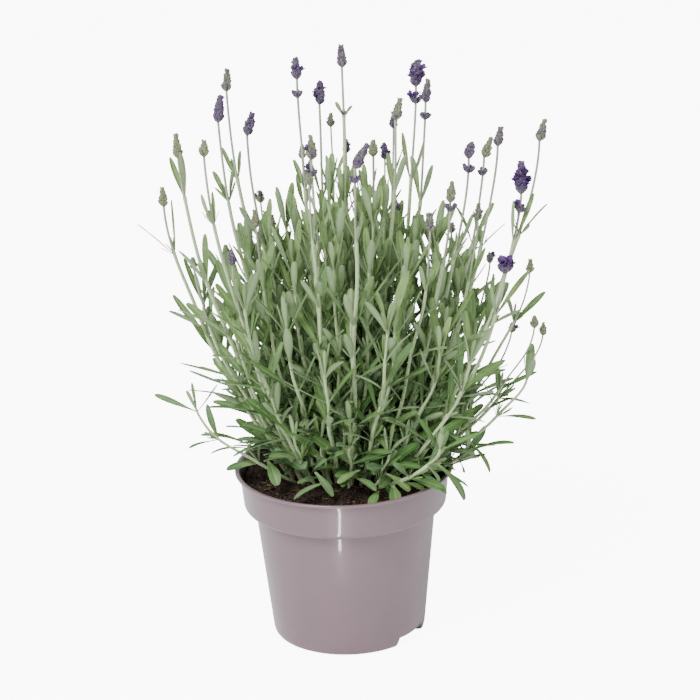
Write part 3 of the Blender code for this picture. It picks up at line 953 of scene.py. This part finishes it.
def crumbs(shell, count, radius, chance):
    """Angular crumbs of peat and bark: short swept bodies with uneven sections."""
    stations, around = 4, 6
    centres, rings, sides, faces, tints = [], [], [], [], []
    flat = circle(around) * (1, 0.7)
    for _ in range(count):
        size = chance.uniform(0.4, 1.1) * MM * (1.6 if chance.random() < 0.08 else 1.0)
        axis = unit(np.array([chance.gauss(0, 1), chance.gauss(0, 1), chance.gauss(0, 0.6)]))
        side, face = across_axes(axis)
        place = scatter_place(chance, radius)
        share = np.array([-1.0, -0.5, 0.5, 1.0]) * size * chance.uniform(0.7, 1.3)
        centres.append(place + share[:, None] * axis)
        swell = np.array([0.35, 0.95, 1.0, 0.4]) * size * 0.8
        uneven = np.array([[chance.uniform(0.7, 1.2) for _ in range(around)] for _ in range(stations)])
        rings.append(swell[:, None, None] * uneven[..., None] * flat)
        sides.append(np.repeat(side[None], stations, 0))
        faces.append(np.repeat(face[None], stations, 0))
        tints.append(chance.choice((0.1, 0.25, 0.3, 0.4, 0.55, 0.7)))
    tint = np.array(tints)[:, None, None]
    shell.sweep(np.array(centres), np.array(sides), np.array(faces), np.array(rings), 0, tint=tint)


def fibres(shell, count, radius, chance):
    """Peat fibres: thin bent threads that lie on the surface."""
    stations, around = 7, 4
    centres, tints, radii = [], [], []
    run = np.linspace(-0.5, 0.5, stations)[:, None]
    for _ in range(count):
        place = scatter_place(chance, radius)
        length = chance.uniform(2.5, 9) * MM
        turn = chance.uniform(0, 2 * math.pi)
        along = np.array([math.cos(turn), math.sin(turn), chance.uniform(-0.25, 0.25)])
        aside = np.array([-math.sin(turn), math.cos(turn), chance.uniform(-0.5, 0.8)])
        bend = chance.uniform(-0.5, 0.5)
        centres.append(place + run * length * along + (run**2 - 0.1) * bend * length * aside)
        tints.append(chance.choice((0.65, 0.7, 0.78, 0.9, 1.0)))
        radii.append(chance.uniform(0.09, 0.24) * MM)
    centre = np.array(centres)
    axis = unit(np.gradient(centre, axis=1))
    side, face = across_axes(axis)
    ring = np.repeat(np.array(radii)[:, None, None, None] * circle(around), stations, 1)
    shell.sweep(centre, side, face, ring, 0, tint=np.array(tints)[:, None, None])


# ---- properties ----


def colour_property(name, description, hex_colour):
    """A colour that starts as this sRGB value."""
    return FloatVectorProperty(name=name, description=description, subtype="COLOR", default=linear(hex_colour))


class PotSettings(bpy.types.PropertyGroup):
    segments: IntProperty(name="Segments", description="Faces round the pot", default=256, min=32, max=512)
    colour: colour_property("Colour", "The plastic's colour", "#735e65")
    shade: colour_property("Shade", "Its slightly darker flow waves", "#6d585f")


class CompostSettings(bpy.types.PropertyGroup):
    crumbs: IntProperty(name="Crumbs", description="Loose crumbs on the surface", default=2400, min=0, max=4000)
    fibres: IntProperty(name="Fibres", description="Loose fibres on the surface", default=800, min=0, max=2000)
    dark: colour_property("Dark", "Damp peat", "#231a17")
    brown: colour_property("Brown", "Drier peat", "#33261f")
    rust: colour_property("Rust", "Bark and fibres", "#4a3326")
    straw: colour_property("Straw", "Pale fibres", "#9a8458")


class FoliageSettings(bpy.types.PropertyGroup):
    inner_shoots: IntProperty(
        name="Inner shoots", description="Leafy shoots that fill the plant", default=54, min=0, max=120
    )
    low_shoots: IntProperty(
        name="Low shoots", description="Places for short shoots over the compost", default=62, min=0, max=120
    )
    pair_spacing: FloatProperty(
        name="Pair spacing", description="Between leaf pairs on a shoot", default=19 * MM, min=8 * MM,
        max=60 * MM, unit="LENGTH", subtype="DISTANCE",
    )
    young: colour_property("Young leaf", "Upper leaves", "#9fbb78")
    old: colour_property("Old leaf", "Lower leaves", "#46792f")
    bluish: colour_property("Bluish leaf", "Leaves with more bloom", "#86a884")
    rib: colour_property("Midrib", "Midribs and leaf feet", "#bdd298")
    underside: colour_property("Underside", "Felted undersides", "#a9bf96")
    stem: colour_property("Stem", "Green stems", "#b5c99a")
    stalk: colour_property("Stalk", "Flower stalks", "#978c98")
    wood: colour_property("Woody foot", "The stems' feet", "#8d8560")


class FlowerSettings(bpy.types.PropertyGroup):
    bud: colour_property("Bud", "Green buds", "#6f7b4c")
    calyx: colour_property("Calyx", "Violet calyces", "#43304f")
    wool: colour_property("Wool", "Pale hairs on the calyces", "#a59fb0")
    petal: colour_property("Petal", "Open petals", "#634384")
    throat: colour_property("Throat", "The petals' inner ends", "#402759")


class StageSettings(bpy.types.PropertyGroup):
    floor_colour: FloatVectorProperty(
        name="Floor", description="The board that the pot stands on", subtype="COLOR", default=(0.88, 0.88, 0.88)
    )
    floor_glow: FloatProperty(name="Floor glow", description="Lifts the floor to white", default=9.0, min=0)
    daylight: FloatProperty(name="Daylight", description="Strength of the surroundings", default=0.82, min=0)
    key_power: FloatProperty(name="Key", description="Power of the main light", default=120.0, unit="POWER")
    fill_power: FloatProperty(name="Fill", description="Power of the side light", default=8.0, unit="POWER")
    view_distance: FloatProperty(
        name="View distance", description="Camera to the middle of the view", default=2.4, unit="LENGTH"
    )
    view_height: FloatProperty(
        name="View height", description="The camera's elevation", default=math.radians(20.04), subtype="ANGLE"
    )
    view_roll: FloatProperty(
        name="View roll", description="The camera's turn about its own axis", default=math.radians(-1.99),
        subtype="ANGLE",
    )


class LavenderSettings(bpy.types.PropertyGroup):
    pot: PointerProperty(type=PotSettings)
    compost: PointerProperty(type=CompostSettings)
    foliage: PointerProperty(type=FoliageSettings)
    flowers: PointerProperty(type=FlowerSettings)
    stage: PointerProperty(type=StageSettings)


# ---- operators ----


# The finishes of a leafy stem and of a spike, in the order of their material slots.
GREENERY = ("leaf", "stem")
SPIKE = ("calyx", "corolla", "leaf")


def stands_for(obj, slot, *nodes):
    """Sets the piece on the plant's one body, in the place of these construction nodes."""
    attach(obj, "root")
    if nodes:
        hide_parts(*nodes)


def placed(shell, name, finishes, slot, *nodes):
    """Makes a shell into a piece with these finishes and sets it on the plant."""
    stands_for(shell.finish(name, [finish_of(finish) for finish in finishes]), slot, *nodes)


class LAVENDER_OT_pot(bpy.types.Operator):
    """Builds the moulded pot with its lip, band, shoulder and drainage channels"""

    bl_idname = "lavender.pot"
    bl_label = "Pot"

    def execute(self, context):
        settings = context.scene.lavender.pot
        points, faces = lathe(subdivided(pot_outline(), 3 * MM), settings.segments)
        points[:, 2] += channel_lift(points)
        pot = mesh_object("moulded_pot", points.tolist(), faces.tolist(), finish_of("pot"))
        cutter = drain_hole_cutter()
        cut = pot.modifiers.new("drain holes", "BOOLEAN")
        cut.operation = "DIFFERENCE"
        cut.object = cutter
        applied(pot)
        bpy.data.objects.remove(cutter)
        pot.data.shade_smooth()
        pot.data.set_sharp_from_angle(angle=math.radians(50))
        stands_for(pot, "pot_plastic", "pot")
        return {"FINISHED"}


class LAVENDER_OT_compost(bpy.types.Operator):
    """Fills the pot with rough peat compost, with crumbs and fibres on it"""

    bl_idname = "lavender.compost"
    bl_label = "Compost"

    def execute(self, context):
        settings = context.scene.lavender.compost
        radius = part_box("compost")[1].x
        shell = Shell()
        compost_surface(shell, radius, CHANNEL_HEIGHT + 2 * MM)
        chance = seeded("compost")
        crumbs(shell, settings.crumbs, radius - 1.5 * MM, chance)
        fibres(shell, settings.fibres, radius - 5 * MM, chance)
        made = shell.finish("peat_compost", [finish_of("compost")], math.radians(80))
        stands_for(made, "compost", "compost")
        return {"FINISHED"}


def spike_foot(n):
    """(the foot of a flower spike, its length) from its node's box."""
    low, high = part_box(f"flower_spike_{n:02d}")
    middle = (low + high) / 2
    return (middle.x, middle.y, low.z), high.z - low.z


def flower_line(n):
    """The line of a flowering stem, up to the foot of its spike."""
    foot, _ = spike_foot(n)
    return Line(foot, seeded("flower", n))


# The gaps between a flowering stem's leaf pairs from its bare stalk down, as shares of the usual spacing.
STALK_GAPS = (3.2, 2.2, 1.7, 1.4, 1.2, 1.1, *[1.0] * 6)
LOWEST_PAIR = 18 * MM


def stalk_shares(line, bare, spacing):
    """Heights of a flowering stem's leaf pairs from the foot up: they stand further apart towards the top."""
    heights = [line.height - bare]
    for gap in STALK_GAPS:
        if heights[-1] - gap * spacing < LOWEST_PAIR:
            break
        heights.append(heights[-1] - gap * spacing)
    return [height / line.height for height in heights[::-1]]


class LAVENDER_OT_flower_stems(bpy.types.Operator):
    """Grows the flowering stems with their leaf pairs below a bare stalk"""

    bl_idname = "lavender.flower_stems"
    bl_label = "Flower stems"

    def execute(self, context):
        spacing = context.scene.lavender.foliage.pair_spacing
        for n, (bare, _, _, _, top_size, _) in enumerate(FLOWER_STEMS, 1):
            line, chance = flower_line(n), seeded("flower leaves", n)
            shares = stalk_shares(line, bare * MM, spacing)
            shell = leafy_stem(line, shares, chance, 0.95, 0.9, False, (1.5, 1.05), 0.5, 0.8, top_size)
            placed(shell, f"grown_flower_stem_{n:02d}", GREENERY, "leaf_green", f"flower_stem_{n:02d}")
        return {"FINISHED"}


class LAVENDER_OT_flower_spikes(bpy.types.Operator):
    """Builds each flower spike from whorls of calyces, bracts and petals"""

    bl_idname = "lavender.flower_spikes"
    bl_label = "Flower spikes"

    def execute(self, context):
        for n, (_, drop, openness, violet, _, lean) in enumerate(FLOWER_STEMS, 1):
            line, chance = flower_line(n), seeded("spike", n)
            _, length = spike_foot(n)
            shell = Shell()
            fullness = 0.93 + 0.6 * openness + 0.1 * violet
            axis = unit(line.direction(1.0) + np.array([math.tan(math.radians(lean)), 0, 0]))
            grow_spike(shell, line.point(1.0), axis, length, openness, violet, chance, (0, 1, 2), fullness)
            if drop:
                size = (5.9 if drop < 20 else 3.6) * MM
                grow_side_whorl(shell, line, drop * MM, size, 0.1 + 0.4 * openness, chance, (0, 1, 2))
            placed(shell, f"grown_flower_spike_{n:02d}", SPIKE, "flower_violet", f"flower_spike_{n:02d}")
        return {"FINISHED"}


def shoot_shares(line, spacing, lowest, top=0.97):
    """Heights of leaf pairs from the lowest to the tip."""
    count = max(2, int((line.height * top - lowest) / spacing))
    return [(lowest + k * (line.height * top - lowest) / count) / line.height for k in range(count + 1)]


class LAVENDER_OT_leafy_shoots(bpy.types.Operator):
    """Grows the outer leafy shoots"""

    bl_idname = "lavender.leafy_shoots"
    bl_label = "Leafy shoots"

    def execute(self, context):
        spacing = context.scene.lavender.foliage.pair_spacing
        for n, tip in enumerate(LEAFY_SHOOTS, 1):
            chance = seeded("shoot", n)
            line = Line(np.array(tip) * MM, chance)
            shares = shoot_shares(line, spacing, LOWEST_PAIR)
            shell = leafy_stem(line, shares, chance, 1.0 if tip[2] > 200 else 0.72, 1.0, True)
            placed(shell, f"grown_leafy_shoot_{n:02d}", GREENERY, "leaf_green", f"leafy_shoot_{n:02d}")
        return {"FINISHED"}


GOLDEN_ANGLE = math.pi * (3 - math.sqrt(5))

# The fields of inner and low shoots, in mm: the middle, the half widths, the height of the tips in the middle,
# how much lower they are at the edge, and the range of the random part of their height.
INNER_FIELD = ((8, 14), (92, 70), 300, 90, (-26, 22))
LOW_FIELD = ((14, 12), (80, 62), 192, 40, (-24, 12))
BARE_FRONT = (12, -8)  # inner shoots to the left of and in front of this have no leaves at their feet
BARE_FEET = 52 * MM
LOW_LEFT = -52  # there are no low shoots further left
BARE_COMPOST = (2, -38)  # and none to the left of and in front of this


def field_of(field, count, first_turn, seed):
    """Evenly spread shoots over an ellipse: (the random source, x, y and z of the tip in mm) of each."""
    middle, half_width, top, fall, height_range = field
    for n in range(count):
        chance = seeded(seed, n)
        reach = math.sqrt((n + 0.5) / count)
        turn = first_turn + n * GOLDEN_ANGLE
        x = middle[0] + half_width[0] * reach * math.cos(turn)
        y = middle[1] + half_width[1] * reach * math.sin(turn)
        yield chance, x, y, top - fall * reach**2 + chance.uniform(*height_range)


class LAVENDER_OT_inner_shoots(bpy.types.Operator):
    """Fills the plant with leafy shoots, evenly spread and lower towards the outside"""

    bl_idname = "lavender.inner_shoots"
    bl_label = "Inner shoots"

    def execute(self, context):
        foliage = context.scene.lavender.foliage
        shoots = field_of(INNER_FIELD, foliage.inner_shoots, 0.0, "inner")
        for n, (chance, x, y, z) in enumerate(shoots, 1):
            line = Line(np.array((x, y, z)) * MM, chance)
            bare = x < BARE_FRONT[0] and y < BARE_FRONT[1]
            shares = shoot_shares(line, foliage.pair_spacing, BARE_FEET if bare else 20 * MM)
            shell = leafy_stem(line, shares, chance, 0.97, 1.0, True)
            placed(shell, f"inner_shoot_{n:02d}", GREENERY, "leaf_green")
        return {"FINISHED"}


class LAVENDER_OT_low_shoots(bpy.types.Operator):
    """Covers the stems' feet with short, broad-leaved shoots, but for the bare compost at the front left"""

    bl_idname = "lavender.low_shoots"
    bl_label = "Low shoots"

    def execute(self, context):
        count = context.scene.lavender.foliage.low_shoots
        made_count = 0
        for chance, x, y, z in field_of(LOW_FIELD, count, 1.0, "low"):
            if x < LOW_LEFT or (x < BARE_COMPOST[0] and y < BARE_COMPOST[1]):
                continue
            line = Line(np.array((x, y, z)) * MM, chance, fan=0.6)
            shares = shoot_shares(line, 11 * MM, 9 * MM)
            shell = leafy_stem(line, shares, chance, 0.8, 0.9, True, (1.1, 0.7))
            made_count += 1
            placed(shell, f"low_shoot_{made_count:02d}", GREENERY, "leaf_green")
        return {"FINISHED"}


# Low leaves over the compost and the rim: foot, then tip, in mm, the width, and how far the tip droops.
LOW_LEAVES = (
    ((-65, -10, 142), (-96, -12, 149), 6.5, 0.5),
    ((-66, -12, 140), (-90, -16, 138), 5.5, 0.6),
    ((62, -42, 136), (78, -50, 112), 9.0, 0.7),
    ((50, -34, 134), (66, -44, 131), 7.5, 0.5),
    ((86, -8, 137), (97, -14, 117), 6.5, 0.6),
    ((-12, -44, 126), (-34, -52, 118), 9.0, 0.5),
    ((-20, -40, 132), (-10, -52, 119), 8.0, 0.5),
    ((-52, -22, 134), (-46, -36, 122), 8.5, 0.6),
    ((22, -48, 120), (17, -60, 114), 7.0, 0.4),
    ((28, -42, 130), (42, -50, 120), 8.0, 0.5),
    ((32, -44, 122), (34, -57, 113), 8.5, 0.4),
    ((40, -40, 122), (53, -40, 116), 8.0, 0.3),
    ((10, -44, 134), (-4, -52, 128), 7.5, 0.5),
    ((6, -42, 128), (20, -52, 122), 7.0, 0.5),
)


class LAVENDER_OT_low_leaves(bpy.types.Operator):
    """Adds single low leaves that lie over the compost and the rim"""

    bl_idname = "lavender.low_leaves"
    bl_label = "Low leaves"

    def execute(self, context):
        chance, shell, rows = seeded("low leaves"), Shell(), []
        for foot, tip, width, droop in LOW_LEAVES:
            foot, span = np.array(foot) * MM, (np.array(tip) - np.array(foot)) * MM
            length = float(np.linalg.norm(span))
            up = np.array([0.0, 0.0, 1.0])
            level = unit(span)
            axis = unit(up - level * float(up @ level) * 0.2)
            out = unit(level - axis * float(level @ axis))
            chord = math.atan2(float(level @ out), float(level @ axis))
            rows.append(
                leaf_row(foot, axis, 0.0, length * 1.05, width * MM, chord - droop / 2, droop, 0.7, chance, out=out)
            )
        grow_leaves(shell, rows)
        placed(shell, "low_leaves", ("leaf",), "leaf_green")
        return {"FINISHED"}


class LAVENDER_OT_small_flowers(bpy.types.Operator):
    """Grows the lesser flowering stems, each with its spike"""

    bl_idname = "lavender.small_flowers"
    bl_label = "Small flowers"

    def execute(self, context):
        spacing = context.scene.lavender.foliage.pair_spacing
        for n, (x, y, z, length, violet) in enumerate(SMALL_FLOWERS, 1):
            chance = seeded("small", n)
            line = Line(np.array((x, y, z)) * MM, chance)
            shares = stalk_shares(line, chance.uniform(30, 48) * MM, 0.8 * spacing)
            shell = leafy_stem(line, shares, chance, 0.85, 0.8, False, (1.2, 0.85), 0.4, 0.62, 0.8)
            axis = line.direction(1.0)
            grow_spike(shell, line.point(1.0), axis, length * MM, 0.05, violet, chance, (2, 3, 0), 0.78)
            placed(shell, f"small_flower_{n:02d}", ("leaf", "stem", "calyx", "corolla"), "leaf_green")
        return {"FINISHED"}


PLANT_MIDDLE = (0, 0, 0.2)
KEY_PLACE = (-1.1, -1.6, 2.3)
FILL_PLACE = (2.0, -1.0, 1.0)
STRIP_PLACE = (-24 * MM, -0.22, 3 * MM)
STRIP_POWER = 0.13
CAMERA_AIM = (6.8 * MM, 0, 204.2 * MM)
CAMERA_LENS = 182.2


def area_light(name, power, size, place, target, size_y=None):
    """An area light aimed at a point."""
    data = bpy.data.lights.new(name, "AREA")
    data.energy = power
    data.shape = "RECTANGLE"
    data.size = size
    data.size_y = size_y or size
    light = linked(name, data)
    light.location = place
    light.rotation_euler = (Vector(target) - Vector(place)).to_track_quat("-Z", "Y").to_euler()
    return light


def add_camera(settings):
    """The camera, aimed at the middle of the plant."""
    data = bpy.data.cameras.new("view")
    data.lens = CAMERA_LENS
    data.sensor_width = 36.0
    data.clip_end = 50
    camera = linked("view", data)
    height = settings.view_height
    camera.location = Vector(CAMERA_AIM) + settings.view_distance * Vector((0, -math.cos(height), math.sin(height)))
    level = Matrix.Rotation(math.pi / 2 - height, 4, "X") @ Matrix.Rotation(settings.view_roll, 4, "Z")
    camera.rotation_euler = level.to_euler()
    bpy.context.scene.camera = camera


class LAVENDER_OT_stage(bpy.types.Operator):
    """Sets the floor, the surroundings, the lights and the camera"""

    bl_idname = "lavender.stage"
    bl_label = "Stage"

    def execute(self, context):
        settings = context.scene.lavender.stage
        shape = bmesh.new()
        bmesh.ops.create_circle(shape, cap_ends=True, segments=96, radius=14.0)
        floor = from_bmesh("floor", shape)
        floor.data.materials.append(board(settings))

        world = bpy.data.worlds.new("surroundings")
        world.use_nodes = True
        back = world.node_tree.nodes["Background"]
        back.inputs["Color"].default_value = (1.0, 1.0, 1.0, 1.0)
        back.inputs["Strength"].default_value = settings.daylight
        context.scene.world = world

        area_light("key", settings.key_power, 1.4, KEY_PLACE, PLANT_MIDDLE)
        area_light("fill", settings.fill_power, 1.2, FILL_PLACE, PLANT_MIDDLE)
        # A thin strip on the floor that the glossy band mirrors as one upright line.
        strip = area_light("strip", STRIP_POWER, 9 * MM, STRIP_PLACE, (*STRIP_PLACE[:2], 1.0), size_y=0.1)
        strip.visible_camera = False
        add_camera(settings)
        return {"FINISHED"}


STEPS = (
    LAVENDER_OT_pot,
    LAVENDER_OT_compost,
    LAVENDER_OT_flower_stems,
    LAVENDER_OT_flower_spikes,
    LAVENDER_OT_leafy_shoots,
    LAVENDER_OT_inner_shoots,
    LAVENDER_OT_low_shoots,
    LAVENDER_OT_low_leaves,
    LAVENDER_OT_small_flowers,
    LAVENDER_OT_stage,
)


class LAVENDER_PT_panel(bpy.types.Panel):
    """Lists the steps in their order"""

    bl_label = "Potted lavender"
    bl_idname = "LAVENDER_PT_panel"
    bl_space_type = "VIEW_3D"
    bl_region_type = "UI"
    bl_category = "Lavender"

    def draw(self, context):
        for step in STEPS:
            self.layout.operator(step.bl_idname)


CLASSES = (
    PotSettings,
    CompostSettings,
    FoliageSettings,
    FlowerSettings,
    StageSettings,
    LavenderSettings,
    *STEPS,
    LAVENDER_PT_panel,
)


def register():
    for cls in CLASSES:
        bpy.utils.register_class(cls)
    bpy.types.Scene.lavender = PointerProperty(type=LavenderSettings)


def unregister():
    del bpy.types.Scene.lavender
    for cls in reversed(CLASSES):
        bpy.utils.unregister_class(cls)


def main():
    """Builds every piece."""
    register()
    for step in STEPS:
        group, name = step.bl_idname.split(".")
        if getattr(getattr(bpy.ops, group), name)() != {"FINISHED"}:
            raise RuntimeError(f"{step.bl_label} didn't finish")


if __name__ == "__main__":
    main()
